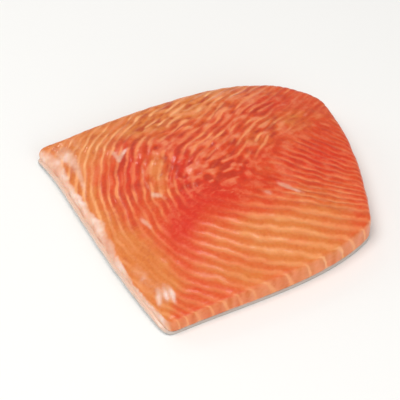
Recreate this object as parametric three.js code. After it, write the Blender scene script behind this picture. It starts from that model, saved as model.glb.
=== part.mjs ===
// A portion of raw salmon fillet, lying on its skin.
//
// Two solids make it: the flesh, a slab with a domed top face that is grooved
// between its flakes, and the thin skin, which lines the underside and turns up
// along the thin belly edge. The other three sides are knife cuts, where the
// skin ends flush with the flesh.
//
// Millimetres, +Z up. +X runs from the belly to the thick loin, +Y to the back.
// The origin is the middle of the underside.

import * as THREE from "three";

// Layers.
const SKIN_THICKNESS = 1.1;
const SKIN_GAP = 0.3;
const FLESH_FLOOR = SKIN_THICKNESS + SKIN_GAP;

// Plan corners, seen from above.
const BELLY_TIP = [-66, 22];
const FRONT_CORNER = [-12, -69];
const RIGHT_CORNER = [63, -21];
const BACK_CORNER = [48, 46];

// Mesh steps along the belly and loin sides, and along the front and back cuts.
const ALONG = 56;
const ACROSS = 62;
const CORNER_SOFTENING = 2.4;

// The four sides in order around the plan, anticlockwise. leave and arrive are
// the handles of each side's curve. height is the height of its upper edge from
// start to end, arch what its middle adds to that, topRound and footRound the
// edge radii at the middle of the side, and lip says where the skin turns up.
const SIDES = [
  {
    from: BELLY_TIP, leave: [-54, 10], arrive: [-41, -30], to: FRONT_CORNER, steps: ALONG,
    height: [6.5, 8], arch: 0.3, topRound: 3.6, footRound: 2.1, lip: 1,
  },
  {
    from: FRONT_CORNER, leave: [14, -54], arrive: [46, -44], to: RIGHT_CORNER, steps: ACROSS,
    height: [8, 11], arch: 0.6, topRound: 1.8, footRound: 0.6, lip: 0,
  },
  {
    from: RIGHT_CORNER, leave: [62, -4], arrive: [60.5, 22], to: BACK_CORNER, steps: ALONG,
    height: [11, 12], arch: 0.8, topRound: 2.2, footRound: 0.6, lip: 0,
  },
  {
    from: BACK_CORNER, leave: [24, 66], arrive: [-6, 52], to: BELLY_TIP, steps: ACROSS,
    height: [12, 6.5], arch: 2.2, topRound: 2.8, footRound: 0.6, lip: 0,
  },
];
const CORNER_TOP_ROUND = 1.8;
const CORNER_FOOT_ROUND = 0.6;
const WALL_BULGE = 0.35;
const TOP_ROUND_SHARE = 0.62;
const FOOT_ROUND_SHARE = 0.34;

// The skin's turned-up lip: the angle its edge reaches round the flesh on a cut
// side and on the belly side, and how far it then runs straight up.
const CUT_WRAP = THREE.MathUtils.degToRad(15);
const LIP_WRAP = THREE.MathUtils.degToRad(90);
const LIP_RISE = 1.3;

// Top face: it rises from its rim to the crown over a soft shoulder.
const CROWN = 6;
const SHOULDER = 17;
const RIM_FADE = 5;
const SEAM_DEPTH = 0.8;
const SEAM_WIDTH = 9;
const SEAM = [[-20, 30], [-14, -5], [-8, -50]];
const UNDULATION = 0.35;

// Flakes lie between seams of fat, which run round the belly in nested loops. The
// loops' axis starts at the belly and sinks to the right over a reach, and their
// noses lie left of the core. Each pitch is the spacing of the seams: on the belly,
// in the front half, where they crowd together over its depth, and at the loin,
// where they close to the right. Above a height over the axis the belly's seams
// become strokes that lean to the right. All seams wander and ripple a little.
const AXIS_START = [-22, 6];
const AXIS_DROP = 23;
const AXIS_REACH = 24;
const NOSE_X = -1;
const NOSE_ROUND = 2.5;
const BELLY_PITCH = 3.2;
const FRONT_PITCH = 5.6;
const FRONT_CROWDING = 1.4;
const FRONT_DEPTH = 50;
const LOIN_X = 30;
const LOIN_PITCH = 3.6;
const LOIN_CLOSING = 0.015;
const STROKE_HEIGHT = 14;
const STROKE_LEAN = 0.62;
const WANDER = 0.6;
const RIPPLE = 0.3;

// The grooves that the seams open, on the top face and on the cut sides.
const GROOVE_DEPTH = 0.7;
const CUT_GROOVE_DEPTH = 0.35;

// Ovals where the seams hardly open: the core's two halves, and the smooth back of
// the loin.
const CALM = [
  { centre: [-2, -13], radii: [17, 11], turn: 25, strength: 0.6 },
  { centre: [14, -7], radii: [15, 8], turn: -15, strength: 0.5 },
  { centre: [42, 31], radii: [19, 13], turn: -55, strength: 0.75 },
];

const FLESH_COLOUR = 0xe0693f;
const SKIN_COLOUR = 0xb9b2ad;

/** A soft ramp: 0 below zero, t above it, rounded over a width. */
function ramp(t, width) {
  return width * Math.log1p(Math.exp(Math.min(t / width, 40)));
}

/** How strongly a soft-edged oval, turned by its degrees, covers a plan point. */
function cover(oval, x, y) {
  const angle = THREE.MathUtils.degToRad(oval.turn);
  const [dx, dy] = [x - oval.centre[0], y - oval.centre[1]];
  const along = (dx * Math.cos(angle) + dy * Math.sin(angle)) / oval.radii[0];
  const across = (dy * Math.cos(angle) - dx * Math.sin(angle)) / oval.radii[1];
  return oval.strength * Math.exp(-(along ** 2) - across ** 2);
}

/** A gentle irregular wave of about unit height and the given wavelength. */
function waves(x, y, length, seed) {
  const fraction = (t) => t - Math.floor(t);
  let sum = 0;
  for (let i = 0; i < 6; i++) {
    const heading = Math.PI * fraction(0.618 * i + 0.271 * seed);
    const rate = ((2 * Math.PI) / length) * (0.65 + 0.8 * fraction(0.755 * i + 0.43 * seed));
    const start = 2 * Math.PI * fraction(0.57 * i * i + 0.19 * seed);
    sum += Math.sin((x * Math.cos(heading) + y * Math.sin(heading)) * rate + start);
  }
  return sum / 2.4;
}

/**
 * The fat seams at a plan point, as counts that are whole on a seam: loops, and the
 * strokes that the belly's loops become. front and upper say how much the point
 * belongs to the front half's wide flakes and to the strokes.
 */
function seamsAt(px, py) {
  const x = px + WANDER * waves(px, py, 34, 1) + RIPPLE * waves(px, py, 11, 2);
  const y = py + WANDER * waves(px, py, 38, 3) + RIPPLE * waves(px, py, 10, 4);
  const run = ramp(x - AXIS_START[0], 5) / AXIS_REACH;
  const above = y - AXIS_START[1] + AXIS_DROP * (1 - Math.exp(-run));
  const loinPitch = LOIN_PITCH * Math.exp(-LOIN_CLOSING * (x - LOIN_X));
  const frontArm = -above / FRONT_PITCH + FRONT_CROWDING * (above / FRONT_DEPTH) ** 2;
  const arm = above > 0 ? above / loinPitch : frontArm;
  const lean = STROKE_LEAN * ramp(above - STROKE_HEIGHT, 5) + NOSE_X - x;
  const nose = ramp(lean, NOSE_ROUND) / BELLY_PITCH;
  const inFront = THREE.MathUtils.smoothstep(arm / (arm + nose + 0.01), 0.4, 0.8);
  const inLoin = THREE.MathUtils.smoothstep(x - 0.9 * above, -2, 10);
  return {
    loops: Math.hypot(nose, arm),
    strokes: lean / BELLY_PITCH,
    front: inFront * THREE.MathUtils.smoothstep(-above, 0, 6),
    upper: (1 - inLoin) * THREE.MathUtils.smoothstep(above, 3, 12),
  };
}

/**
 * The grooves between the flakes at a plan point, from 0 on a flake's back to 1.
 * Every second seam opens one, and so does every seam between the wide flakes of
 * the front half.
 */
function groove(x, y) {
  const { loops, strokes, front, upper } = seamsAt(x, y);
  const crease = (turns) => (0.5 + 0.5 * Math.cos(2 * Math.PI * turns)) ** (1 + 2 * front);
  const round = crease(loops / 2) + front * crease((loops + 1) / 2);
  return THREE.MathUtils.lerp(round, crease(strokes / 2), upper);
}

/** The sides' curves as one closed list of points, with their edge values. */
function outlineStations() {
  const stations = [];
  for (const side of SIDES) {
    const handles = [side.from, side.leave, side.arrive, side.to];
    const curve = new THREE.CubicBezierCurve(...handles.map((p) => new THREE.Vector2(...p)));
    curve.getSpacedPoints(side.steps).slice(0, -1).forEach((point, i) => {
      const t = i / side.steps;
      const middle = Math.sin(Math.PI * t);
      const roundness = middle ** 0.6;
      stations.push({
        x: point.x,
        y: point.y,
        height: THREE.MathUtils.lerp(side.height[0], side.height[1], t) + side.arch * middle,
        topRound: THREE.MathUtils.lerp(CORNER_TOP_ROUND, side.topRound, roundness),
        footRound: THREE.MathUtils.lerp(CORNER_FOOT_ROUND, side.footRound, roundness),
        lip: side.lip * THREE.MathUtils.smoothstep(middle, 0, 0.12),
      });
    });
  }
  return stations;
}

/** Rounds the corners: each value becomes the mean of itself and its neighbours. */
function softened(stations) {
  const spacing = stations.reduce((sum, s, i) => {
    const next = stations[(i + 1) % stations.length];
    return sum + Math.hypot(next.x - s.x, next.y - s.y) / stations.length;
  }, 0);
  const rounds = Math.round(2 * (CORNER_SOFTENING / spacing) ** 2);
  let loop = stations;
  for (let round = 0; round < rounds; round++) {
    loop = loop.map((s, i) => {
      const before = loop[(i + loop.length - 1) % loop.length];
      const after = loop[(i + 1) % loop.length];
      const mean = (key) => (before[key] + 2 * s[key] + after[key]) / 4;
      return Object.fromEntries(Object.keys(s).map((key) => [key, mean(key)]));
    });
  }
  return loop;
}

/** Adds the outward direction, and keeps the edge radii within the wall. */
function finished(loop) {
  return loop.map((s, i) => {
    const before = loop[(i + loop.length - 1) % loop.length];
    const after = loop[(i + 1) % loop.length];
    const length = Math.hypot(after.x - before.x, after.y - before.y);
    const wall = s.height - FLESH_FLOOR;
    return {
      ...s,
      outX: (after.y - before.y) / length,
      outY: (before.x - after.x) / length,
      topRound: Math.min(s.topRound, TOP_ROUND_SHARE * wall),
      footRound: Math.min(s.footRound, FOOT_ROUND_SHARE * wall),
    };
  });
}

const LOOP = finished(softened(outlineStations()));

/** A point of a station's section: its distance out from the outline, and its height. */
function sectionPoint(station, out, z) {
  return [station.x + station.outX * out, station.y + station.outY * out, z];
}

/** The flesh's section at a station, from the edge of its underside up to its top edge. */
function fleshSection(s) {
  const points = [];
  const footCentre = FLESH_FLOOR + s.footRound;
  for (const share of [0, 0.5, 1]) {
    const angle = (share * Math.PI) / 2;
    const out = s.footRound * (Math.sin(angle) - 1);
    points.push(sectionPoint(s, out, footCentre - s.footRound * Math.cos(angle)));
  }
  const topCentre = s.height - s.topRound;
  const bulge = (WALL_BULGE - CUT_GROOVE_DEPTH * groove(s.x, s.y)) * (1 - s.lip);
  points.push(sectionPoint(s, bulge, (footCentre + topCentre) / 2));
  for (const share of [0, 0.5, 1]) {
    const angle = (share * Math.PI) / 2;
    const out = s.topRound * (Math.cos(angle) - 1);
    points.push(sectionPoint(s, out, topCentre + s.topRound * Math.sin(angle)));
  }
  return points;
}

/** The skin's section at a station on a circle about the flesh's lower edge, and its lip. */
function skinSection(s, gap) {
  const radius = s.footRound + gap;
  const centre = FLESH_FLOOR + s.footRound;
  const wrap = THREE.MathUtils.lerp(CUT_WRAP, LIP_WRAP, s.lip);
  const points = [0, 0.5, 1].map((share) => {
    const angle = share * wrap;
    const out = radius * Math.sin(angle) - s.footRound;
    return sectionPoint(s, out, centre - radius * Math.cos(angle));
  });
  const [x, y, z] = points.at(-1);
  points.push([x, y, z + 0.2 + LIP_RISE * s.lip]);
  return points;
}

/** How far a plan point lies inside the rim of the top face on each of the four sides. */
function depthsInside(x, y) {
  let start = 0;
  return SIDES.map((side) => {
    const stretch = LOOP.slice(start, start + side.steps);
    start += side.steps;
    const distances = stretch.map((s) => Math.hypot(x - s.x, y - s.y));
    const nearest = stretch[distances.indexOf(Math.min(...distances))];
    const depth = (nearest.x - x) * nearest.outX + (nearest.y - y) * nearest.outY;
    return Math.max(depth - nearest.topRound, 0);
  });
}

/** Distance from a plan point to the seam between belly and loin. */
function seamDistance(x, y) {
  const [start, middle, end] = SEAM.map((p) => new THREE.Vector2(...p));
  const curve = new THREE.QuadraticBezierCurve(start, middle, end);
  const point = new THREE.Vector2(x, y);
  return Math.min(...curve.getPoints(12).map((p) => p.distanceTo(point)));
}

/** How far the flakes and the soft folds of the flesh lift its top face at a point. */
function relief(x, y) {
  const seam = -SEAM_DEPTH * Math.exp(-((seamDistance(x, y) / SEAM_WIDTH) ** 2));
  const swell = UNDULATION * waves(x, y, 42, 7);
  const open = CALM.reduce((share, oval) => share - cover(oval, x, y), 1);
  return seam + swell + GROOVE_DEPTH * open * (0.4 - groove(x, y));
}

/** Blends four edge values across the top face, as a stretched sheet would. */
function coons(u, v, edge) {
  const across = (1 - v) * edge(u, 0) + v * edge(u, 1);
  const along = (1 - u) * edge(0, v) + u * edge(1, v);
  const near = (1 - v) * edge(0, 0) + v * edge(0, 1);
  const far = (1 - v) * edge(1, 0) + v * edge(1, 1);
  return across + along - ((1 - u) * near + u * far);
}

/** Collects points and triangles, and makes the geometry of a closed solid. */
class Shell {
  constructor() {
    this.points = [];
    this.faces = [];
  }

  add(point) {
    this.points.push(point);
    return this.points.length - 1;
  }

  quad(a, b, c, d) {
    this.faces.push(a, b, c, a, c, d);
  }

  /** Joins two rings of vertices that run anticlockwise, the second above or outside. */
  band(lower, upper) {
    lower.forEach((vertex, i) => {
      const next = (i + 1) % lower.length;
      this.quad(vertex, lower[next], upper[next], upper[i]);
    });
  }

  /** Closes a flat ring of vertices with triangles that face up, or down. */
  cap(ring, up) {
    const contour = ring.map((vertex) => new THREE.Vector2(...this.points[vertex].slice(0, 2)));
    for (const [a, b, c] of THREE.ShapeUtils.triangulateShape(contour, [])) {
      this.faces.push(ring[a], ring[up ? b : c], ring[up ? c : b]);
    }
  }

  geometry() {
    const shape = new THREE.BufferGeometry();
    shape.setAttribute("position", new THREE.Float32BufferAttribute(this.points.flat(), 3));
    shape.setIndex(this.faces);
    shape.computeVertexNormals();
    return shape;
  }
}

/** Adds one vertex for each station at a level of its section, and returns the rings. */
function rings(shell, section) {
  const sections = LOOP.map(section);
  return sections[0].map((_, level) => sections.map((points) => shell.add(points[level])));
}

/** The flesh: underside, rounded lower edge, wall, rounded upper edge and domed top. */
function fleshGeometry() {
  const shell = new Shell();
  const levels = rings(shell, fleshSection);
  shell.cap(levels[0], false);
  levels.slice(1).forEach((ring, i) => shell.band(levels[i], ring));

  const rim = levels.at(-1);
  const rimVertex = (i, j) => {
    if (j === 0) return rim[i];
    if (i === ALONG) return rim[ALONG + j];
    if (j === ACROSS) return rim[2 * ALONG + ACROSS - i];
    return rim[2 * (ALONG + ACROSS) - j];
  };
  const grid = [];
  for (let i = 0; i <= ALONG; i++) {
    grid.push([]);
    for (let j = 0; j <= ACROSS; j++) {
      const onRim = i === 0 || j === 0 || i === ALONG || j === ACROSS;
      grid[i].push(onRim ? rimVertex(i, j) : shell.add(topPoint(shell, rimVertex, i, j)));
    }
  }
  for (let i = 0; i < ALONG; i++) {
    for (let j = 0; j < ACROSS; j++) {
      shell.quad(grid[i][j], grid[i + 1][j], grid[i + 1][j + 1], grid[i][j + 1]);
    }
  }
  return shell.geometry();
}

/** A point of the top face, between the rim's points, with its crown and relief. */
function topPoint(shell, rimVertex, i, j) {
  const u = i / ALONG;
  const v = j / ACROSS;
  const [x, y, edgeHeight] = [0, 1, 2].map((axis) =>
    coons(u, v, (a, b) => shell.points[rimVertex(Math.round(a * ALONG), Math.round(b * ACROSS))][axis]),
  );
  const depths = depthsInside(x, y);
  const shoulder = depths.reduce((product, depth) => product * (1 - Math.exp(-depth / SHOULDER)), 1);
  const fade = THREE.MathUtils.smoothstep(Math.min(...depths), 0, RIM_FADE);
  return [x, y, edgeHeight + CROWN * shoulder + fade * relief(x, y)];
}

/** The skin: a sheet of even thickness under the flesh, open at its upper edge. */
function skinGeometry() {
  const shell = new Shell();
  const outer = rings(shell, (s) => skinSection(s, SKIN_GAP + SKIN_THICKNESS));
  const inner = rings(shell, (s) => skinSection(s, SKIN_GAP));
  shell.cap(outer[0], false);
  outer.slice(1).forEach((ring, i) => shell.band(outer[i], ring));
  shell.band(outer.at(-1), inner.at(-1));
  inner.slice(1).forEach((ring, i) => shell.band(ring, inner[i]));
  shell.cap(inner[0], true);
  return shell.geometry();
}

function piece(name, geometry, material) {
  const mesh = new THREE.Mesh(geometry, new THREE.MeshStandardMaterial(material));
  mesh.name = name;
  return mesh;
}

const fillet = new THREE.Group();
fillet.name = "salmon_fillet";
fillet.add(
  piece("flesh", fleshGeometry(), { color: FLESH_COLOUR, roughness: 0.35, metalness: 0 }),
  piece("skin", skinGeometry(), { color: SKIN_COLOUR, roughness: 0.3, metalness: 0 }),
);

// Moves the plan so that the origin is the middle of the fillet's box.
const centre = new THREE.Box3().setFromObject(fillet).getCenter(new THREE.Vector3());
fillet.children.forEach((mesh) => mesh.geometry.translate(-centre.x, -centre.y, 0));

export default fillet;
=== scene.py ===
"""A portion of raw salmon fillet, lying on its skin, dressed as a moist cut of fish."""

import logging
import math
from dataclasses import dataclass
from enum import Enum

import bpy
import numpy as np
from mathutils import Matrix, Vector


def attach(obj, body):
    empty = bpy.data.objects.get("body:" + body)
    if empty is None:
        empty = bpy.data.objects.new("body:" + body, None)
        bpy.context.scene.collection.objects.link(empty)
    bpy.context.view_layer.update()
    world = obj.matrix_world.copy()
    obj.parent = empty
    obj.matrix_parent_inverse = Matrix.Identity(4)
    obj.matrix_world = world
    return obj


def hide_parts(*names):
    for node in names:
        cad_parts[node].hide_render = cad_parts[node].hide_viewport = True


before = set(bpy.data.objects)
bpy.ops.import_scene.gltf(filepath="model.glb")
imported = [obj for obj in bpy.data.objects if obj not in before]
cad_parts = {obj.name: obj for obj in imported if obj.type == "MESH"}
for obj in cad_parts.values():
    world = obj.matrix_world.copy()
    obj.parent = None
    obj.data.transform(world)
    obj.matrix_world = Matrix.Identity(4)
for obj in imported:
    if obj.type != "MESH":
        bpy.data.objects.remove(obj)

log = logging.getLogger("salmon_fillet")

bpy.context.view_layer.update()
MM = 0.001
Field = np.ndarray
Socket = bpy.types.NodeSocket

# The two families of seams: the field that counts them, and the one that says how far
# along them a place lies.
SEAM_FAMILIES = (("loops", "loop_run"), ("strokes", "stroke_run"))

# The fields of the flesh that its material reads.
SHOWN_FIELDS = (
    "loops", "strokes", "loop_run", "stroke_run", "upper", "crispness", "patchiness",
    "dashes", "gold", "fatness", "fat_and_glints",
)


class Node(Enum):
    """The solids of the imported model."""

    FLESH = "flesh"
    SKIN = "skin"


def linear(code: str) -> tuple[float, float, float, float]:
    """Turns an sRGB hex colour into a linear one.

    Args:
        code: six hex digits, such as "e58354".

    Returns:
        Red, green, blue and alpha, as a shader takes them.
    """
    shares = [int(code[i : i + 2], 16) / 255 for i in (0, 2, 4)]
    channels = [s / 12.92 if s <= 0.04045 else ((s + 0.055) / 1.055) ** 2.4 for s in shares]
    return (*channels, 1.0)


def smooth(values: Field, low: float, high: float) -> Field:
    """Rises smoothly from 0 at low to 1 at high."""
    share = np.clip((values - low) / (high - low), 0, 1)
    return share * share * (3 - 2 * share)


def ramp(values: Field, width: float) -> Field:
    """A soft ramp: 0 below zero, the value itself above it, rounded over a width."""
    return width * np.log1p(np.exp(np.minimum(values / width, 40)))


def turned(x: Field, y: Field, cosine: float, sine: float) -> tuple[Field, Field]:
    """Returns plan places along and across a direction, given by its cosine and sine."""
    return cosine * x + sine * y, cosine * y - sine * x


def waves(x: Field, y: Field, length: float, seed: int) -> Field:
    """A gentle irregular wave over the plan.

    It is the sum of six sines of like length, whose headings, lengths and starts are
    spread so that they don't line up.

    Args:
        x: places across, in millimetres.
        y: places towards the back, in millimetres.
        length: the wavelength, in millimetres.
        seed: a whole number that picks the wave.

    Returns:
        Values of about unit height.
    """
    total = np.zeros_like(x)
    for i in range(6):
        heading = math.pi * ((0.618 * i + 0.271 * seed) % 1)
        rate = 2 * math.pi / length * (0.65 + 0.8 * ((0.755 * i + 0.43 * seed) % 1))
        start = 2 * math.pi * ((0.57 * i * i + 0.19 * seed) % 1)
        total += np.sin((x * math.cos(heading) + y * math.sin(heading)) * rate + start)
    return total / 2.4


def grains(u: Field, v: Field, seed: int) -> Field:
    """Soft random grains, about a unit across, which repeat after 256 of them.

    Args:
        u: places one way, in grains.
        v: places the other way, in grains.
        seed: a whole number that picks the grains.

    Returns:
        Values from -1 to 1.
    """
    lattice = np.random.default_rng(seed).uniform(-1, 1, (256, 256))
    column, row = np.floor(u).astype(int), np.floor(v).astype(int)
    across, down = smooth(u - column, 0, 1), smooth(v - row, 0, 1)
    near, far = (
        lattice[column % 256, (row + step) % 256] * (1 - across)
        + lattice[(column + 1) % 256, (row + step) % 256] * across
        for step in (0, 1)
    )
    return near * (1 - down) + far * down


@dataclass(frozen=True)
class Patch:
    """A soft-edged oval on the plan, in millimetres, turned by degrees.

    A firmness of 1 fades evenly outwards, and a higher one gives the oval an edge.
    """

    x: float
    y: float
    length: float
    width: float
    turn: float = 0.0
    strength: float = 1.0
    firmness: float = 1.0

    def over(self, x: Field, y: Field) -> Field:
        """Works out how strong the patch is at plan places.

        Args:
            x: places across.
            y: places towards the back.

        Returns:
            The patch's strength at each place.
        """
        angle = math.radians(self.turn)
        along, across = turned(x - self.x, y - self.y, math.cos(angle), math.sin(angle))
        reach = (along / self.length) ** 2 + (across / self.width) ** 2
        return self.strength * np.exp(-(reach**self.firmness))


def painted(patches: tuple[Patch, ...], x: Field, y: Field) -> Field:
    """Sums patches at plan places."""
    return sum(patch.over(x, y) for patch in patches)


@dataclass(frozen=True)
class FlakePattern:
    """The seams of fat between the flakes, as fields over the plan, in millimetres.

    The seams run round the belly in nested loops, whose axis sinks to the right.
    Above the axis the belly's seams become strokes that lean to the right.
    """

    origin: tuple[float, float] = (-1.05, -6.32)
    axis_start: tuple[float, float] = (-22, 6)
    axis_drop: float = 23
    axis_reach: float = 24
    bend_round: float = 5
    nose_x: float = -1
    nose_round: float = 2.5
    belly_pitch: float = 3.2
    front_pitch: float = 5.15
    front_crowding: float = 1.4
    front_depth: float = 50
    loin_x: float = 30
    loin_pitch: float = 3.6
    loin_closing: float = 0.015
    loin_slope: float = 0.9
    loin_edge: tuple[float, float] = (-2, 10)
    stroke_height: float = 14
    stroke_lean: float = 0.62
    stroke_edge: tuple[float, float] = (3, 12)
    wander: float = 0.6
    ripple: float = 0.3
    turn_radius: float = 26
    turn_round: float = 4
    crumbly: Patch = Patch(0, 23, 30, 24, 15, 1.3)

    def seams(self, px: Field, py: Field) -> dict[str, Field]:
        """Measures the seams at plan places.

        Args:
            px: places across, from the pattern's own origin.
            py: places towards the back, from the pattern's own origin.

        Returns:
            loops and strokes, the counts of the seams; loop_run and stroke_run, how
            far along them a place lies, in millimetres; front and upper, how much it
            belongs to the front half's wide flakes and to the strokes; and blend,
            where loops and strokes cross.
        """
        x = px + self.wander * waves(px, py, 34, 1) + self.ripple * waves(px, py, 11, 2)
        y = py + self.wander * waves(px, py, 38, 3) + self.ripple * waves(px, py, 10, 4)
        run = ramp(x - self.axis_start[0], self.bend_round) / self.axis_reach
        above = y - self.axis_start[1] + self.axis_drop * (1 - np.exp(-run))
        loin_pitch = self.loin_pitch * np.exp(-self.loin_closing * (x - self.loin_x))
        front_arm = -above / self.front_pitch + self.front_crowding * (above / self.front_depth) ** 2
        arm = np.where(above > 0, above / loin_pitch, front_arm)
        lean = self.stroke_lean * ramp(above - self.stroke_height, self.bend_round) + self.nose_x - x
        nose = ramp(lean, self.nose_round) / self.belly_pitch
        upper = 1 - smooth(x - self.loin_slope * above, *self.loin_edge)
        upper *= smooth(above, *self.stroke_edge)
        side = np.where(above > 0, -1, 1)
        turn = np.arctan2(nose, side * arm)
        return {
            "loops": np.hypot(nose, arm),
            "strokes": lean / self.belly_pitch,
            "loop_run": side * ramp(x, self.turn_round) - self.turn_radius * turn,
            "stroke_run": -above,
            "front": smooth(arm / (arm + nose + 0.01), 0.4, 0.8) * smooth(-above, 0, 6),
            "upper": upper,
            "blend": 4 * upper * (1 - upper) * smooth(x, -12, 2),
        }


@dataclass(frozen=True)
class FleshTones:
    """Where the flesh departs from its even orange, from the pattern's own origin.

    red and gold shift its tone, fleck is bare fat and a few painted glints of the wet
    film, plain hides the seams, or brings them out where it is negative, curds is the
    broken core, and dark are deep streaks.
    """

    red: tuple[Patch, ...] = (
        Patch(-8, -29, 12, 7, 80, 0.4),
        Patch(2, -13, 21, 9, 38, 0.42, 1.5),
        Patch(38, 4, 24, 10, 18, 0.34),
        Patch(48, 17, 15, 11, 80, 0.14),
        Patch(26, 38, 10, 6, 30, 0.28),
        Patch(-28, 4, 15, 5, 98, 0.46),
        Patch(0, 8, 16, 7, 0, 0.14),
        Patch(-8, 2, 12, 4.5, 90, 0.5),
        Patch(-38, 18, 8, 5, 60, 0.2),
        Patch(33, -31, 20, 5, -4, 0.1),
        Patch(14, -20, 9, 5, 25, 0.2),
        Patch(-16, 15, 7, 5, 0, 0.22),
    )
    gold: tuple[Patch, ...] = (
        Patch(32, -34, 28, 12, -4, 0.58, 1.5),
        Patch(44, -17, 15, 7, 0, 0.36),
        Patch(-17, 2, 15, 4, 93, 0.45),
        Patch(-22, -38, 17, 7, 118, 0.55),
        Patch(-14, 35, 28, 8, 27, 0.65),
        Patch(-50, 19, 13, 11, 0, 0.85),
        Patch(29, 29, 10, 6, 0, 0.2),
        Patch(18, 16, 7, 5, 0, 0.22),
        Patch(13, -6, 9, 5, -15, 0.15),
        Patch(24, 1, 6, 4, 0, 0.3),
        Patch(-48, 25, 6, 5, 0, 0.4),
        Patch(16, -50, 16, 6, -10, 0.4),
        Patch(-13, -46, 13, 5, 105, 0.3),
        Patch(38, 31, 8, 5, 0, 0.16),
        Patch(39, -9, 7, 4, 0, 0.2),
        Patch(6, -1, 6, 4, 0, 0.22),
        Patch(-24, 32, 9, 5, 27, 0.15),
        Patch(32, -25, 10, 4, 0, 0.12),
    )
    # Bare fat, and a few flecks painted as glints of the wet film.
    fleck: tuple[Patch, ...] = (
        Patch(-34.3, 13.0, 3.6, 1.0, -62, 0.62),
        Patch(-30.4, 13.4, 3.6, 1.0, 66, 0.62),
        Patch(-32.2, 10.2, 2.3, 1.4, 90, 0.6),
        Patch(-32.3, 14.2, 2.4, 1.3, 0, 0.28),
        Patch(-22.8, 1.5, 5, 0.8, 97, 0.46),
        Patch(-20.4, -6.2, 4, 0.8, 112, 0.5),
        Patch(-23.8, 14, 4, 1.1, 92, 0.3),
        Patch(-21.5, -48, 9, 3.2, 117, 0.42),
        Patch(-6.5, 37.2, 4.2, 0.9, 18, 0.4),
        Patch(-2.4, 40.3, 2.6, 0.9, 24, 0.35),
        # A painted glint of the wet film, and a smaller one beside it.
        Patch(-17.2, -10.4, 2.4, 1.4, -12, 0.85),
        Patch(-14.2, -12.4, 1.2, 1.1, 0, 0.45),
        Patch(-22, -22.5, 3.2, 1.2, -50, 0.55),
        Patch(-20, -25, 2.6, 1.0, -55, 0.45),
        # Three pale flecks in a row, painted as glints of the wet film.
        Patch(30.8, -7.5, 3.6, 1.5, -25, 0.75),
        Patch(24.3, -11.5, 2.6, 1.3, -10, 0.6),
        Patch(35.6, -9.6, 2.8, 1.0, -22, 0.6),
        Patch(14.5, 2.5, 1.8, 1.0, -30, 0.45),
        Patch(-13.3, -56, 6.0, 3.6, 102, 0.3),
        Patch(-15.8, -57, 4.6, 0.9, 96, 0.8),
        Patch(-13.4, -55, 3.6, 0.8, 102, 0.75),
        Patch(-10.9, -56, 4.2, 0.9, 108, 0.8),
        Patch(41, 34, 1.8, 1.2, 40, 0.4),
        Patch(-54, 16, 8, 4, -55, 0.62),
        Patch(-50, 11, 9, 1.6, -65, 0.62),
        Patch(-46, 0, 8, 1.2, -72, 0.5),
        Patch(-51, 24, 6, 1.4, -60, 0.4),
    )
    plain: tuple[Patch, ...] = (
        Patch(6, -15, 26, 8, 38, 0.76, 2.0),
        Patch(-8, -30, 10, 6, 80, 0.4, 1.5),
        Patch(11, -2, 18, 9, -10, 0.75, 1.5),
        Patch(42, 30, 19, 13, -55, 0.85, 1.5),
        Patch(-20, -42, 23, 9, 118, 0.78, 1.5),
        Patch(12, -50, 20, 7, -20, 0.35),
        Patch(-32, 0, 16, 8, 95, -0.5, 1.5),
        Patch(-15, 8, 10, 5, 85, 0.25),
        Patch(-24, 32, 10, 5, 27, -0.35),
    )
    curds: Patch = Patch(4, 0, 17, 10, 14, 0.9, 1.5)
    dark: tuple[Patch, ...] = (
        Patch(-26, 10, 6, 1.3, 100, 0.75),
        Patch(-29.5, 7, 5.5, 1.1, 97, 0.65),
        Patch(-24.4, -1, 4.5, 1.1, 100, 0.65),
        Patch(-33, 3, 4.5, 1.2, 95, 0.6),
        Patch(-31.5, 17.2, 1.6, 1.4, 0, 0.5),
        Patch(-37, -6, 6, 1.0, 100, 0.45),
        Patch(-31, -8, 6, 1.0, 103, 0.5),
        Patch(-27, -6, 5, 1.0, 104, 0.45),
        Patch(15, 33, 4, 1.2, 65, 0.45),
        Patch(21, 36, 5, 1.3, 60, 0.5),
        Patch(27, 39, 5, 1.3, 58, 0.55),
        Patch(25, 7, 4, 1.6, 80, 0.35),
        Patch(-10, 4, 4, 1.4, 80, 0.4),
        Patch(-8.5, -5, 6, 3, 85, 0.35),
        Patch(-9, 8, 5, 4, 85, 0.3),
        Patch(-16, 14, 5, 5, 0, 0.15),
    )


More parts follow.
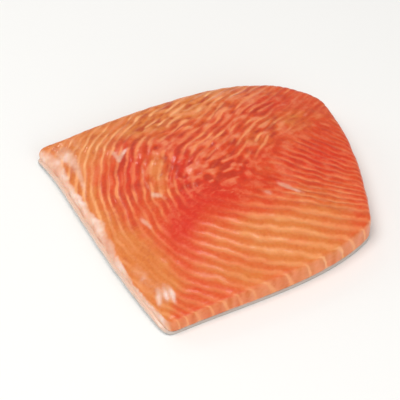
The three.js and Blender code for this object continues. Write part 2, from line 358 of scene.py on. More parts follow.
class Sheet:
    """A material's node tree while it is being wired."""

    def __init__(self, name: str) -> None:
        """Makes an empty material.

        Args:
            name: the material's name.
        """
        self.material = bpy.data.materials.new(name)
        self.material.use_nodes = True
        self.tree = self.material.node_tree
        self.tree.nodes.clear()

    def add(
        self,
        kind: str,
        inputs: dict | tuple = (),
        output: int | str = 0,
        stops: tuple = (),
        **settings: object,
    ) -> Socket:
        """Adds a node with its settings and links.

        Args:
            kind: the node's type name, without its leading "ShaderNode".
            inputs: values, or the outputs that feed them, in the order of the sockets
                or by the sockets' names or numbers.
            output: the name or number of the wanted output.
            stops: a ramp's positions with their hex colours, or a curve's with their values.
            **settings: attribute names and their values.

        Returns:
            The wanted output.
        """
        node = self.tree.nodes.new(f"ShaderNode{kind}")
        for name, value in settings.items():
            setattr(node, name, value)
        for name, value in inputs.items() if isinstance(inputs, dict) else enumerate(inputs):
            if isinstance(value, Socket):
                self.tree.links.new(value, node.inputs[name])
            else:
                node.inputs[name].default_value = value
        if stops:
            self.set_stops(node, stops)
        return node.outputs[output]

    @staticmethod
    def set_stops(node: bpy.types.Node, stops: tuple[tuple[float, object], ...]) -> None:
        """Gives a ramp its colours, or a curve its values.

        Args:
            node: the ramp or the curve, with a stop at each end.
            stops: each stop's position, with its hex colour or its value.
        """
        if hasattr(node, "color_ramp"):
            elements = node.color_ramp.elements
            elements[0].position, elements[1].position = stops[0][0], stops[-1][0]
            for position, _ in stops[1:-1]:
                elements.new(position)
            for element, (_, code) in zip(elements, stops):
                element.color = linear(code)
        else:
            points = node.mapping.curves[0].points
            points[0].location, points[1].location = stops[0], stops[-1]
            for stop in stops[1:-1]:
                points.new(*stop)
            node.mapping.update()

    def blotches(self, size_mm: float, gain: float, detail: float = 2.0) -> Socket:
        """Draws soft blotches over the piece.

        Args:
            size_mm: how far apart they lie.
            gain: how strong they are.
            detail: how many finer layers roughen them.

        Returns:
            Their strength, evenly about 0.
        """
        place = self.add("TexCoord", output="Object")
        lie = {"Vector": place, "Scale": 1 / (size_mm * MM), "Detail": detail}
        noise = self.add("TexNoise", lie, "Fac")
        return self.add("Math", (noise, gain, -gain / 2), operation="MULTIPLY_ADD")

    def layered(self, ground: object, *layers: tuple[object, object]) -> Socket:
        """Lays colours over a ground, each by its own share.

        Args:
            ground: the lowest colour, or the output that gives it.
            *layers: each layer's share and colour, the lowest first.

        Returns:
            The finished colour.
        """
        colour = ground
        for share, layer in layers:
            # A colour mix has its share at input 0, and its colours at inputs 6 and 7
            # and output 2.
            colour = self.add("Mix", {0: share, 6: colour, 7: layer}, 2, data_type="RGBA")
        return colour

    def finish(self, surface: Socket) -> bpy.types.Material:
        """Joins a shader to the material's output.

        Args:
            surface: the shader's output.

        Returns:
            The finished material.
        """
        output = self.tree.nodes.new("ShaderNodeOutputMaterial")
        self.tree.links.new(surface, output.inputs["Surface"])
        return self.material


@dataclass(frozen=True)
class SalmonFlesh:
    """Raw salmon muscle, sliced with a wet knife.

    The eye sees orange muscle between pale seams of fat, finely streaked across
    each flake by its fibres, a little translucent, under a thin film of moisture.
    Muscle, seam and fat each run from a redder or duller colour to a paler one.
    The fat's colour also paints a few pale flecks that stand in for glints of the
    wet film.
    """

    muscle: tuple[str, str, str] = ("d62f12", "da4c1e", "d97834")
    seam: tuple[str, str, str] = ("ea6c44", "f08f58", "f8b075")
    # The palest of these also paints the glints of the wet film on a few flecks.
    fat: tuple[str, str, str] = ("da987c", "e9b79c", "f3d9cc")
    deep: str = "b3270c"
    crumb: str = "f29a6c"
    fibre_mm: float = 0.45
    fibres_a_flake: float = 0.9
    grain_mm: float = 0.5
    crumb_mm: float = 1.2
    wobble_mm: float = 1.6
    curd_mm: float = 2.2
    film_mm: float = 3.0
    mottle_mm: float = 3.2
    patch_mm: float = 6.0
    drift_mm: float = 11.0
    seam_wobble: float = 0.2
    seam_crest: tuple[tuple[float, float], ...] = (
        (0.0, 0.0), (0.2, 0.1), (0.36, 0.72), (0.5, 1.0), (0.62, 0.75), (0.78, 0.12), (1.0, 0.0),
    )
    fat_and_glint_onset: tuple[tuple[float, float], ...] = ((0.0, 0.0), (0.18, 0.0), (0.65, 0.6), (1.0, 1.0))

    def material(self) -> bpy.types.Material:
        """Wires the material.

        Returns:
            The finished flesh material.
        """
        sheet = Sheet("raw_salmon_flesh")
        fields = {name: sheet.add("Attribute", output="Fac", attribute_name=name) for name in SHOWN_FIELDS}
        seams = self.seams(sheet, fields)
        fibres = self.fibres(sheet, fields)
        surface = sheet.add(
            "BsdfPrincipled",
            {
                "Base Color": self.colour(sheet, fields, seams, fibres),
                "Roughness": sheet.add("Math", (sheet.blotches(self.film_mm, 0.3), 0.38), operation="ADD"),
                "IOR": 1.34,
                "Normal": self.bumps(sheet, seams, fibres),
                "Subsurface Weight": 0.2,
                "Subsurface Radius": (1.0, 0.28, 0.12),
                "Subsurface Scale": 1.2 * MM,
                "Coat Weight": 0.5,
                "Coat Roughness": 0.08,
                "Coat IOR": 1.33,
            },
            subsurface_method="RANDOM_WALK",
        )
        return sheet.finish(surface)

    def seams(self, sheet: Sheet, fields: dict[str, Socket]) -> Socket:
        """Draws the seams: soft pale crests, which fade further on their inner side.

        Args:
            sheet: the material being wired.
            fields: the flesh's fields.

        Returns:
            The seams' strength, from 0 on the muscle to 1.
        """
        wobble = sheet.blotches(self.wobble_mm, self.seam_wobble)
        lines = []
        for count, _ in SEAM_FAMILIES:
            turn = sheet.add("Math", (fields[count], 0.5), operation="ADD")
            turn = sheet.add("Math", (turn,), operation="FRACT")
            share = sheet.add("Math", (turn, 0.5), operation="SUBTRACT")
            place = sheet.add("Math", (share, fields["crispness"], wobble), operation="MULTIPLY_ADD")
            place = sheet.add("Math", (place, 0.5), operation="ADD")
            lines.append(sheet.add("FloatCurve", {"Value": place}, stops=self.seam_crest))
        return sheet.layered(lines[0], (fields["upper"], lines[1]))

    def fibres(self, sheet: Sheet, fields: dict[str, Socket]) -> Socket:
        """Draws the fine fibres, which cross each flake from seam to seam.

        Args:
            sheet: the material being wired.
            fields: the flesh's fields.

        Returns:
            The fibres' strength, from 0 to 1.
        """
        scale = (1 / self.fibre_mm, self.fibres_a_flake, 1.0)
        streaks = []
        for count, run in SEAM_FAMILIES:
            place = sheet.add("CombineXYZ", (fields[run], fields[count]))
            lane = sheet.add("VectorMath", (place, scale), operation="MULTIPLY")
            streaks.append(sheet.add("TexNoise", {"Vector": lane, "Scale": 1.0, "Detail": 2.0}, "Fac"))
        return sheet.layered(streaks[0], (fields["upper"], streaks[1]))

    def colour(self, sheet: Sheet, fields: dict[str, Socket], seams: Socket, fibres: Socket) -> Socket:
        """Colours the muscle, its streaks and crumbs, the seams over it and the bare fat.

        Args:
            sheet: the material being wired.
            fields: the flesh's fields.
            seams: the seams' strength.
            fibres: the fibres' strength.

        Returns:
            The flesh's colour, whose fat colour also paints glints on a few flecks.
        """
        patchiness = fields["patchiness"]
        patches = sheet.blotches(self.patch_mm, 2.2)
        mottle = sheet.blotches(self.mottle_mm, 0.55, 3.0)
        drift = sheet.add("Math", (fields["gold"], sheet.blotches(self.drift_mm, 0.5)), operation="ADD")
        tone = sheet.add("Math", (mottle, patchiness, drift), operation="MULTIPLY_ADD")
        fat_tone = sheet.add("Math", (patches, 0.5), operation="ADD")
        muscle, seam, fat = (
            sheet.add("ValToRGB", (place,), stops=tuple(zip((0.0, 0.5, 1.0), colours)))
            for place, colours in ((tone, self.muscle), (tone, self.seam), (fat_tone, self.fat))
        )

        dashes = sheet.add("Math", (fields["dashes"], sheet.blotches(self.crumb_mm, 0.8)), operation="ADD")
        fibrous = sheet.add("Math", (fibres, 0.4, -0.2), operation="MULTIPLY_ADD")
        streaks = sheet.add("Math", (dashes, -0.8, fibrous), operation="MULTIPLY_ADD")
        crumbs = sheet.add("Math", (dashes, 0.6), operation="MULTIPLY")
        broken = sheet.add("Math", (patches, patchiness, 0.85), operation="MULTIPLY_ADD")
        paleness = sheet.add("Math", (seams, fields["fatness"]), operation="MULTIPLY")
        paleness = sheet.add("Math", (paleness, broken), operation="MULTIPLY")
        # Where fat lies bare, and the glints painted on a few flecks, with ragged edges.
        ragged = sheet.blotches(self.curd_mm, 0.5, 3.0)
        curds = sheet.add("Math", (fields["fat_and_glints"], ragged), operation="ADD")
        fat_and_glints = sheet.add("FloatCurve", {"Value": curds}, stops=self.fat_and_glint_onset)
        return sheet.layered(
            muscle,
            (streaks, linear(self.deep)),
            (crumbs, linear(self.crumb)),
            (paleness, seam),
            (fat_and_glints, fat),
        )

    def bumps(self, sheet: Sheet, seams: Socket, fibres: Socket) -> Socket:
        """Raises the fibres and a fine grain, and sinks the seams.

        Args:
            sheet: the material being wired.
            seams: the seams' strength.
            fibres: the fibres' strength.

        Returns:
            The bumped normal.
        """
        grain = sheet.blotches(self.grain_mm, 0.4, 3.0)
        height = sheet.add("Math", (fibres, 0.3, grain), operation="MULTIPLY_ADD")
        height = sheet.add("Math", (seams, -0.3, height), operation="MULTIPLY_ADD")
        return sheet.add("Bump", {"Strength": 0.5, "Distance": 0.25 * MM, "Height": height})


@dataclass(frozen=True)
class SalmonSkin:
    """Scaled salmon skin, wet, silvery on the belly and blue grey towards the back.

    The eye sees small scales in slanting rows that catch the light, the fine dark
    lateral line, a few dark spots on the back, and a pale pink fatty edge where the
    skin turns up beside the belly flesh.
    """

    silver: str = "c9c8c4"
    slate: str = "5d6b76"
    lip: str = "e9bfa6"
    cut: str = "b9b0a8"
    spot: str = "2f3436"
    scale_mm: float = 2.2
    rows_turn: float = 45.0
    back_mm: tuple[float, float] = (-5.0, 55.0)
    lip_mm: tuple[float, float] = (0.9, 3.0)
    blotch_mm: float = 3.2
    mottle_mm: float = 6.0
    lateral_mm: float = 6.0
    lateral_drift_mm: float = 5.0
    lateral_bend_mm: float = 14.0
    lateral_width_mm: tuple[float, float] = (0.2, 1.0)
    spots_apart_mm: float = 15.0
    spot_edge_mm: float = 1.5

    def material(self) -> bpy.types.Material:
        """Wires the material.

        Returns:
            The finished skin material.
        """
        sheet = Sheet("wet_salmon_skin")
        scales = self.scales(sheet)
        surface = sheet.add(
            "BsdfPrincipled",
            {
                "Base Color": self.colour(sheet, scales),
                "Roughness": 0.32,
                "IOR": 1.45,
                "Normal": sheet.add("Bump", {"Strength": 0.6, "Distance": 0.15 * MM, "Height": scales}),
                "Subsurface Weight": 0.15,
                "Subsurface Radius": (1.0, 0.5, 0.35),
                "Subsurface Scale": 0.8 * MM,
                "Coat Weight": 0.5,
                "Coat Roughness": 0.15,
            },
        )
        return sheet.finish(surface)

    def scales(self, sheet: Sheet) -> Socket:
        """Draws the scales in slanting rows.

        Args:
            sheet: the material being wired.

        Returns:
            How far a place lies from the middle of its scale.
        """
        place = sheet.add("TexCoord", output="Object")
        scale = 1 / (self.scale_mm * MM)
        slanting = {
            "Vector": place,
            "Rotation": (0, 0, math.radians(self.rows_turn)),
            "Scale": (scale, scale, 0.2 * scale),
        }
        rows = sheet.add("Mapping", slanting)
        return sheet.add("TexVoronoi", {"Vector": rows, "Scale": 1.0, "Randomness": 0.4}, "Distance")

    def colour(self, sheet: Sheet, scales: Socket) -> Socket:
        """Colours the skin, its cut edges and its turned-up lip.

        Args:
            sheet: the material being wired.
            scales: how far a place lies from the middle of its scale.

        Returns:
            The skin's colour.
        """
        place = sheet.add("TexCoord", output="Object")
        across, height = (sheet.add("SeparateXYZ", (place,), axis) for axis in "XZ")
        facing = sheet.add("SeparateXYZ", (sheet.add("NewGeometry", output="Normal"),), "Z")
        belly, loin = (edge * MM for edge in self.back_mm)
        back = sheet.add("MapRange", (across, belly, loin), interpolation_type="SMOOTHSTEP")
        mottled = sheet.add("Math", (back, sheet.blotches(self.mottle_mm, 0.5, 3.0)), operation="ADD")
        scaly = sheet.add("Math", (scales, 0.45), operation="MULTIPLY")
        sliced = sheet.add("MapRange", (facing, -0.5, 0.0))
        foot, crest = (edge * MM for edge in self.lip_mm)
        lifted = sheet.add("MapRange", (height, foot, crest))
        blotched = sheet.add("Math", (sheet.blotches(self.blotch_mm, 0.8, 3.0), 0.95), operation="ADD")
        lip = sheet.add("Math", (lifted, blotched), operation="MULTIPLY")
        return sheet.layered(
            linear(self.silver),
            (mottled, linear(self.slate)),
            (scaly, linear(self.slate)),
            (self.lateral_line(sheet, across), linear(self.slate)),
            (self.spots(sheet, place, back), linear(self.spot)),
            (sliced, linear(self.cut)),
            (lip, linear(self.lip)),
        )

    def lateral_line(self, sheet: Sheet, across: Socket) -> Socket:
        """Draws the fine line along the fish's side.

        Args:
            sheet: the material being wired.
            across: the place across the fish, in metres.

        Returns:
            The line's strength.
        """
        drift = sheet.blotches(self.lateral_bend_mm, self.lateral_drift_mm * MM)
        away = sheet.add("Math", (across, self.lateral_mm * MM), operation="SUBTRACT")
        away = sheet.add("Math", (away, drift), operation="ADD")
        away = sheet.add("Math", (away,), operation="ABSOLUTE")
        core, edge = (reach * MM for reach in self.lateral_width_mm)
        return sheet.add("MapRange", (away, core, edge, 0.4, 0.0))

    def spots(self, sheet: Sheet, place: Socket, back: Socket) -> Socket:
        """Draws the dark spots, which lie on the back alone.

        Args:
            sheet: the material being wired.
            place: the place on the skin, in metres.
            back: how much a place belongs to the back.

        Returns:
            The spots' strength.
        """
        scattered = {"Vector": place, "Scale": 1 / (self.spots_apart_mm * MM)}
        away = sheet.add("TexVoronoi", scattered, "Distance")
        ragged = sheet.add("Math", (away, sheet.blotches(self.spot_edge_mm, 0.08)), operation="ADD")
        spot = sheet.add("MapRange", (ragged, 0.08, 0.15, 0.8, 0.0))
        return sheet.add("Math", (spot, back), operation="MULTIPLY")


@dataclass(frozen=True)
class PaleCard:
    """Matt white card, which gives an even pale ground."""

    white: str = "f4f3f0"

    def material(self) -> bpy.types.Material:
        """Wires the material.

        Returns:
            The finished card material.
        """
        sheet = Sheet("matt_white_card")
        matt = {"Base Color": linear(self.white), "Roughness": 0.85}
        return sheet.finish(sheet.add("BsdfPrincipled", matt))


class Body:
    """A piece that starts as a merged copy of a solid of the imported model."""

    def __init__(self, node: Node, name: str) -> None:
        """Copies the solid and merges its loose triangles.

        Args:
            node: the solid to copy.
            name: the new piece's name.
        """
        self.node = node
        self.piece = bpy.data.objects.new(name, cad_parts[node.value].data.copy())
        bpy.context.scene.collection.objects.link(self.piece)
        self.pick()
        bpy.ops.object.mode_set(mode="EDIT")
        bpy.ops.mesh.select_all(action="SELECT")
        bpy.ops.mesh.remove_doubles(threshold=0.002 * MM)
        bpy.ops.object.mode_set(mode="OBJECT")

    def pick(self) -> None:
        """Selects this piece alone, as the active object."""
        bpy.ops.object.select_all(action="DESELECT")
        self.piece.select_set(True)
        bpy.context.view_layer.objects.active = self.piece

    def apply(self, kind: str, **settings: object) -> None:
        """Adds a modifier with its settings, and applies it.

        Args:
            kind: the modifier's type name.
            **settings: its attributes and their values.
        """
        modifier = self.piece.modifiers.new(kind.lower(), kind)
        for name, value in settings.items():
            setattr(modifier, name, value)
        self.pick()
        bpy.ops.object.modifier_apply(modifier=modifier.name)

    def places(self) -> Field:
        """Reads where the vertices lie.

        Returns:
            Every vertex's place, in millimetres.
        """
        places = np.empty(len(self.piece.data.vertices) * 3)
        self.piece.data.vertices.foreach_get("co", places)
        return places.reshape(-1, 3) / MM

    def normals(self) -> Field:
        """Reads which way the vertices face.

        Returns:
            Every vertex's normal.
        """
        normals = np.empty(len(self.piece.data.vertices) * 3, np.float32)
        self.piece.data.vertex_normals.foreach_get("vector", normals)
        return normals.reshape(-1, 3).astype(float)

    def levelled(self, places: Field, softness: Field, rounds: int) -> Field:
        """Evens out the heights of neighbouring vertices.

        Args:
            places: the vertices' places.
            softness: how much each vertex may give way, from 0 to 1.
            rounds: how often each height moves half way to its neighbours' mean.

        Returns:
            The new heights.
        """
        ends = np.empty(len(self.piece.data.edges) * 2, np.int32)
        self.piece.data.edges.foreach_get("vertices", ends)
        first, second = ends.reshape(-1, 2).T
        count = len(places)
        neighbours = np.bincount(ends, minlength=count)
        heights = places[:, 2].copy()
        for _ in range(rounds):
            total = np.bincount(first, heights[second], count) + np.bincount(second, heights[first], count)
            heights += 0.5 * softness * (total / neighbours - heights)
        return heights

    def place(self, places: Field) -> None:
        """Moves the vertices to new places, in millimetres."""
        self.piece.data.vertices.foreach_set("co", (places * MM).ravel())
        self.piece.data.update()

    def write(self, name: str, values: Field) -> None:
        """Stores a field on the vertices for the material to read."""
        layer = self.piece.data.attributes.new(name, "FLOAT", "POINT")
        layer.data.foreach_set("value", values.astype(np.float32))

    def hand_over(self, material: bpy.types.Material) -> bpy.types.Object:
        """Dresses the piece and puts it in the solid's place.

        Args:
            material: the piece's one material.

        Returns:
            The finished piece.
        """
        self.piece.data.materials.clear()
        self.piece.data.materials.append(material)
        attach(self.piece, "root")
        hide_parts(self.node.value)
        return self.piece


@dataclass
class Outline:
    """The fillet's outline on the plan, in millimetres, from its flesh."""

    places: Field
    directions: int = 720

    def __post_init__(self) -> None:
        """Finds the furthest place in each direction from the middle."""
        reach = np.hypot(self.places[:, 0], self.places[:, 1])
        step = (self.turn() * self.directions / 360).astype(int) % self.directions
        rim = np.zeros(self.directions)
        np.maximum.at(rim, step, reach)
        angle = (np.arange(self.directions) + 0.5) * 2 * math.pi / self.directions
        found = rim > 0
        rim = np.interp(angle, angle[found], rim[found])
        self.points = np.stack([rim * np.cos(angle), rim * np.sin(angle)], axis=1)

    def turn(self) -> Field:
        """Returns each place's direction from the middle, in degrees from 0 to 360."""
        return np.degrees(np.arctan2(self.places[:, 1], self.places[:, 0])) % 360

    def inward(self) -> Field:
        """Measures how far in from the outline's sides each place lies.

        Returns:
            Each place's distance to the nearest side.
        """
        nearest = np.full(len(self.places), np.inf)
        for start, end in zip(self.points, np.roll(self.points, -1, axis=0)):
            side = end - start
            away = self.places[:, :2] - start
            share = np.clip(away @ side / (side @ side), 0, 1)
            nearest = np.minimum(nearest, np.hypot(*(away - share[:, None] * side).T))
        return nearest


@dataclass
class Survey:
    """Where the flesh's vertices lie, in millimetres and degrees.

    x and y are measured from the flake pattern's origin and z from the ground. turn is
    the direction from the middle, and inward the distance in from the outline. belly,
    back and wall say how much a vertex belongs to those sides and to the walls.
    """

    x: Field
    y: Field
    z: Field
    turn: Field
    inward: Field
    belly: Field
    back: Field
    wall: Field


@dataclass
class Flesh:
    """The slab of flaky muscle, in millimetres and degrees.

    Crumbs and the breaks in the seams have their length, how many rows of them a flake
    holds, and their seed. Slants are the cosine and sine of a direction.
    """

    pattern: FlakePattern
    tones: FleshTones
    voxel: float = 0.62
    smoothing_rounds: int = 6
    levelling_rounds: int = 60
    inner_edge: tuple[float, float] = (3.0, 8.0)
    gap_below: float = 0.32
    gap_heights: tuple[float, float] = (1.6, 3.4)
    relief_heights: tuple[float, float] = (1.8, 3.2)
    flake_depth: float = 0.22
    inner_flake_depth: float = 0.45
    crumb_depth: float = 0.16
    dimple_depth: float = 0.16
    dimple_size: float = 4.5
    dimple_slant: tuple[float, float] = (0.8, 0.6)
    fat_depth: float = 0.06
    sinking: float = 0.05
    lip_reach: float = 0.35
    lip_heights: tuple[float, float] = (4.0, 6.5)
    cut_slant: float = 0.05
    cut_top: float = 12.0
    cut_streak: tuple[float, float] = (2.2, 9.0)
    coarse_crumbs: tuple[float, float, int] = (3.8, 1.5, 41)
    fine_crumbs: tuple[float, float, int] = (2.1, 3.1, 42)
    seam_breaks: tuple[float, float, int] = (4.4, 1.0, 43)
    curd_size: tuple[float, float] = (2.3, 1.7)
    curd_slant: tuple[float, float] = (0.87, 0.5)
    reach: float = 64.0
    margin: tuple[float, float] = (1.5, 5.0)
    belly_arc: tuple[float, float] = (156.5, 260.0)
    arc_fade: float = 3.0
    back_rise: tuple[float, float] = (60.0, 85.0)
    wall_lean: tuple[float, float] = (0.25, 0.8)
    belly_gold: tuple[float, float] = (3.0, 13.0)
    back_gold: tuple[float, float] = (1.0, 10.0)
    foot_heights: tuple[float, float] = (1.7, 2.6)
    rim_widths: tuple[tuple[float, float], ...] = (
        (-69, 0.5), (-50, 0.5), (-44, 1.0), (-38, 1.6), (-30, 2.5), (-20, 3.4), (-8, 2.4),
        (5, 2.5), (20, 4.5),
    )

    def build(self) -> bpy.types.Object:
        """Models and dresses the slab.

        Returns:
            The finished piece.
        """
        body = Body(Node.FLESH, "salmon_flesh")
        body.apply("REMESH", mode="VOXEL", voxel_size=self.voxel * MM, use_smooth_shade=True)
        body.apply("SMOOTH", factor=0.5, iterations=self.smoothing_rounds)
        places, normals = body.places(), body.normals()
        at = self.survey(places, normals)
        fields = self.fields(at)
        inner = (1 - at.wall) * smooth(at.inward, *self.inner_edge)
        places[:, 2] = body.levelled(places, inner, self.levelling_rounds)
        places += normals * self.relief(places, at, fields, inner)[:, None]
        places[:, 2] -= self.gap_below * (1 - smooth(places[:, 2], *self.gap_heights))
        body.place(places)
        for name in SHOWN_FIELDS:
            body.write(name, fields[name])
        body.piece.data.shade_smooth()
        return body.hand_over(SalmonFlesh().material())

    def survey(self, places: Field, normals: Field) -> Survey:
        """Finds where the vertices lie on the slab.

        Args:
            places: the vertices' places.
            normals: the vertices' normals.

        Returns:
            The survey.
        """
        outline = Outline(places)
        turn = outline.turn()
        fade = self.arc_fade
        start, end = (smooth(turn, edge - fade, edge + fade) for edge in self.belly_arc)
        return Survey(
            x=places[:, 0] + self.pattern.origin[0],
            y=places[:, 1] + self.pattern.origin[1],
            z=places[:, 2].copy(),
            turn=turn,
            inward=outline.inward(),
            belly=start * (1 - end),
            back=smooth(turn, *self.back_rise) * (1 - start),
            wall=1 - smooth(normals[:, 2], *self.wall_lean),
        )

    def fields(self, at: Survey) -> dict[str, Field]:
        """Works out the flesh's fields at its vertices.

        Args:
            at: where the vertices lie.

        Returns:
            Each field by its name.
        """
        fields = self.pattern.seams(at.x, at.y)
        front, top = fields["front"], 1 - at.wall
        for count, _ in SEAM_FAMILIES:
            fields[count] = fields[count] + self.cut_slant * at.wall * (self.cut_top - at.z)
        margin = at.back * (1 - smooth(at.inward, *self.margin)) * top
        plain = painted(self.tones.plain, at.x, at.y) + 0.75 * margin
        fields["crispness"] = 1 - 0.22 * front * top + (0.3 + 0.6 * front) * at.wall
        fields["patchiness"] = 1 - 0.5 * front
        fields["plain"] = np.clip(plain, -0.4, 0.92)
        fields["crumble"] = np.clip(0.35 + self.pattern.crumbly.over(at.x, at.y), 0, 1) * (1 - front)
        coarse, fine, breaks = (
            self.along_seams(fields, *grain)
            for grain in (self.coarse_crumbs, self.fine_crumbs, self.seam_breaks)
        )
        fields["dashes"], fields["lumps"] = self.crumbs(at, fields["crumble"], coarse, fine)
        fields["gold"] = self.gold(at, margin)
        fields["fatness"] = self.fatness(at, fields, breaks)
        fields["fat_and_glints"] = self.fat_and_glints(at)
        return fields

    def crumbs(
        self, at: Survey, crumble: Field, coarse: Field, fine: Field
    ) -> tuple[Field, Field]:
        """Scatters crumbs along the seams, curds in the core and streaks on the walls.

        Args:
            at: where the vertices lie.
            crumble: how crumbly the flesh is.
            coarse: the coarse grains along the seams.
            fine: the fine grains along the seams.

        Returns:
            The pale and dark dashes of colour, and the lumps of the relief.
        """
        curds = self.tones.curds.over(at.x, at.y)
        along, across = turned(at.x, at.y, *self.curd_slant)
        length, width = self.curd_size
        round_grains = np.clip(2.5 * grains(along / length, across / width, 45), -1, 1)
        dashes = np.clip(coarse + 0.6 * fine, -1, 1) * crumble
        dashes += (round_grains - dashes) * curds
        dashes -= painted(self.tones.dark, at.x, at.y)
        width, height = self.cut_streak
        streaks = grains(np.radians(at.turn) * self.reach / width, at.z / height, 44)
        dashes += (0.4 + 0.6 * streaks - dashes) * at.wall
        return dashes, coarse * crumble * (1 - curds) + round_grains * curds

    def gold(self, at: Survey, margin: Field) -> Field:
        """Works out the muscle's tone, which is more golden near the belly and the back.

        Args:
            at: where the vertices lie.
            margin: how much a vertex belongs to the back's smooth margin.

        Returns:
            The tone, from 0 where it is red to 1 where it is golden.
        """
        gold = 0.5 + painted(self.tones.gold, at.x, at.y) - painted(self.tones.red, at.x, at.y)
        gold += 0.55 * at.belly * (1 - smooth(at.inward, *self.belly_gold))
        gold += 0.35 * at.back * (1 - smooth(at.inward, *self.back_gold)) + 0.2 * margin
        # The walls turn towards gold, a paler orange: partly the cut faces' own tone, partly painted light
        # that offsets the shade the walls lie in.
        return np.clip(gold + 0.7 * at.wall * (0.95 - gold), 0, 1.1)

    def fatness(self, at: Survey, fields: dict[str, Field], breaks: Field) -> Field:
        """Works out how pale the seams are, and where they break up.

        Args:
            at: where the vertices lie.
            fields: the flesh's fields so far.
            breaks: the grains that break up the seams.

        Returns:
            The seams' paleness.
        """
        kept = np.clip(0.6 + 1.8 * breaks, 0, 1.2)
        fatness = (0.72 - 0.22 * fields["front"] + 0.32 * at.wall) * (1 - fields["plain"])
        return fatness * (1 + fields["crumble"] * (kept - 1)) * (1 - 0.9 * fields["blend"])

    def fat_and_glints(self, at: Survey) -> Field:
        """Works out where fat lies bare: the flecks, the belly's ragged rim and the foot.

        Args:
            at: where the vertices lie.

        Returns:
            How much of the fat's colour each vertex takes, from 0 to 1; on a few flecks
            it paints glints of the wet film.
        """
        ragged = at.inward / np.interp(at.y, *zip(*self.rim_widths))
        ragged += 0.16 * waves(at.x, at.y, 13, 12) + 0.08 * waves(at.x, at.y, 5, 14)
        rim = 1.05 * at.belly * (1 - smooth(ragged, 0.4, 1.5))
        uneven_height = at.z + 0.3 * waves(at.x, at.y, 6, 13)
        foot = 0.7 * at.wall * (1 - smooth(uneven_height, *self.foot_heights))
        # Bare fat, and a few flecks painted as glints of the wet film.
        flecks = painted(self.tones.fleck, at.x, at.y)
        return np.clip(np.maximum.reduce([flecks, rim, foot]), 0, 1)

    @staticmethod
    def along_seams(fields: dict[str, Field], length: float, rows: float, seed: int) -> Field:
        """Draws random grains that lie along the seams.

        Args:
            fields: the flesh's fields.
            length: the grains' length, in millimetres.
            rows: how many rows of grains a flake holds.
            seed: a whole number that picks the grains.

        Returns:
            Values from -1 to 1.
        """
        loops, strokes = (
            grains(fields[run] / length, fields[count] * rows, seed) for count, run in SEAM_FAMILIES
        )
        return loops + (strokes - loops) * fields["upper"]

    def relief(self, places: Field, at: Survey, fields: dict[str, Field], inner: Field) -> Field:
        """Works out how far each vertex stands out, in millimetres.

        Args:
            places: the vertices' places, after levelling.
            at: where the vertices lay before it.
            fields: the flesh's fields.
            inner: how much a vertex belongs to the inner top face.

        Returns:
            The lift along each vertex's normal.
        """
        x, y, z = places.T
        ridge, stroke = (np.abs(np.sin(math.pi * fields[count])) ** 0.7 for count, _ in SEAM_FAMILIES)
        flake = ridge + (stroke - ridge) * fields["upper"] - 0.75
        flake *= self.flake_depth + (self.inner_flake_depth - self.flake_depth) * inner
        flake *= (1 - 0.9 * fields["plain"]) * (1 - 0.4 * fields["crumble"]) * (1 - 0.9 * fields["blend"])
        along, across = turned(x, y, *self.dimple_slant)
        dimples = self.dimple_depth * grains(along / self.dimple_size, across / self.dimple_size, 22)
        crumbs = self.crumb_depth * fields["lumps"]
        fatty = self.fat_depth * fields["fat_and_glints"] * waves(x + z, y - z, 4.5, 23)
        beside_lip = self.lip_reach * at.belly * at.wall * (1 - smooth(z, *self.lip_heights))
        lift = flake + crumbs + dimples + fatty + beside_lip - self.sinking
        return smooth(z, *self.relief_heights) * lift


@dataclass
class Skin:
    """The sheet of skin under the flesh, in millimetres and degrees."""

    lip_heights: tuple[float, float] = (2.0, 4.5)
    lip_lean: float = 0.45
    ruffle: float = 0.25
    sharp_edge: float = 50.0

    def build(self) -> bpy.types.Object:
        """Models and dresses the skin, whose lip leans in and ruffles.

        Returns:
            The finished piece.
        """
        body = Body(Node.SKIN, "salmon_skin")
        bpy.ops.object.mode_set(mode="EDIT")
        bpy.ops.mesh.select_all(action="SELECT")
        bpy.ops.mesh.tris_convert_to_quads()
        bpy.ops.object.mode_set(mode="OBJECT")
        places = body.places()
        x, y, z = places.T
        lifted = smooth(z, *self.lip_heights)
        reach = np.hypot(x, y)
        lean = lifted * (self.lip_lean + self.ruffle * waves(x, y, 9, 31))
        places[:, 0] -= lean * x / reach
        places[:, 1] -= lean * y / reach
        places[:, 2] += lifted * self.ruffle * waves(x, y, 12, 32)
        body.place(places)
        body.pick()
        bpy.ops.object.shade_smooth_by_angle(angle=math.radians(self.sharp_edge))
        return body.hand_over(SalmonSkin().material())


@dataclass(frozen=True)
class SoftLight:
    """A square soft light, in metres: where its middle hangs, its side and its watts."""

    name: str
    place: tuple[float, float, float]
    side: float
    watts: float

    def hang(self, aim: Vector) -> None:
        """Hangs the light so that it faces a point.

        Args:
            aim: the point.
        """
        light = bpy.data.lights.new(self.name, "AREA")
        light.size = self.side
        light.energy = self.watts
        holder = bpy.data.objects.new(self.name, light)
        holder.location = self.place
        holder.rotation_euler = (aim - Vector(self.place)).to_track_quat("-Z", "Y").to_euler()
        bpy.context.scene.collection.objects.link(holder)


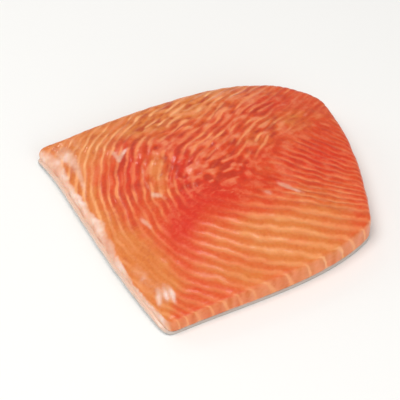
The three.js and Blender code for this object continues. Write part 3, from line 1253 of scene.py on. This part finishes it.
@dataclass
class Studio:
    """The ground, the lights and the camera, in metres and degrees."""

    elevation: float = 45.0
    lens: float = 135.0
    frame_width: float = 0.152
    aim: tuple[float, float, float] = (0.0, 0.0, 0.006)
    floor_side: float = 6.0
    sky: float = 0.4
    lights: tuple[SoftLight, ...] = (
        SoftLight("key", (-0.25, -0.2, 1.0), 0.7, 7.0),
        SoftLight("fill", (0.5, -0.85, 0.4), 0.8, 3.7),
        SoftLight("back", (-0.85, 0.4, 0.35), 0.5, 1.2),
        SoftLight("sheen", (-0.3, 0.75, 0.65), 0.08, 0.27),
    )

    def build(self) -> None:
        """Sets up the studio."""
        self.lay_floor()
        for light in self.lights:
            light.hang(Vector(self.aim))
        self.set_sky()
        self.set_camera()

    def lay_floor(self) -> None:
        """Lays a pale card."""
        bpy.ops.object.select_all(action="DESELECT")
        bpy.ops.mesh.primitive_plane_add(size=self.floor_side)
        floor = bpy.context.object
        floor.name = "floor"
        floor.data.materials.append(PaleCard().material())

    def set_sky(self) -> None:
        """Fills the shadows with an even white glow."""
        world = bpy.data.worlds.new("studio")
        world.use_nodes = True
        glow = world.node_tree.nodes["Background"]
        glow.inputs["Color"].default_value = linear("ffffff")
        glow.inputs["Strength"].default_value = self.sky
        bpy.context.scene.world = world
        bpy.context.scene.view_settings.view_transform = "Standard"

    def set_camera(self) -> None:
        """Points a long lens down at the fillet from the front."""
        camera = bpy.data.cameras.new("camera")
        camera.lens = self.lens
        camera.clip_start = 0.01
        distance = self.frame_width * self.lens / camera.sensor_width
        tilt = math.radians(self.elevation)
        holder = bpy.data.objects.new("camera", camera)
        holder.location = Vector(self.aim) + distance * Vector((0, -math.cos(tilt), math.sin(tilt)))
        holder.rotation_euler = (math.pi / 2 - tilt, 0, 0)
        bpy.context.scene.collection.objects.link(holder)
        bpy.context.scene.camera = holder


def main() -> None:
    """Builds the fillet and its studio, and writes how large the fillet came out."""
    logging.basicConfig(level=logging.INFO, format="%(name)s: %(message)s")
    for part in (Flesh(FlakePattern(), FleshTones()), Skin()):
        piece = part.build()
        log.info("%s: %d faces", piece.name, len(piece.data.polygons))
    Studio().build()


if __name__ == "__main__":
    main()
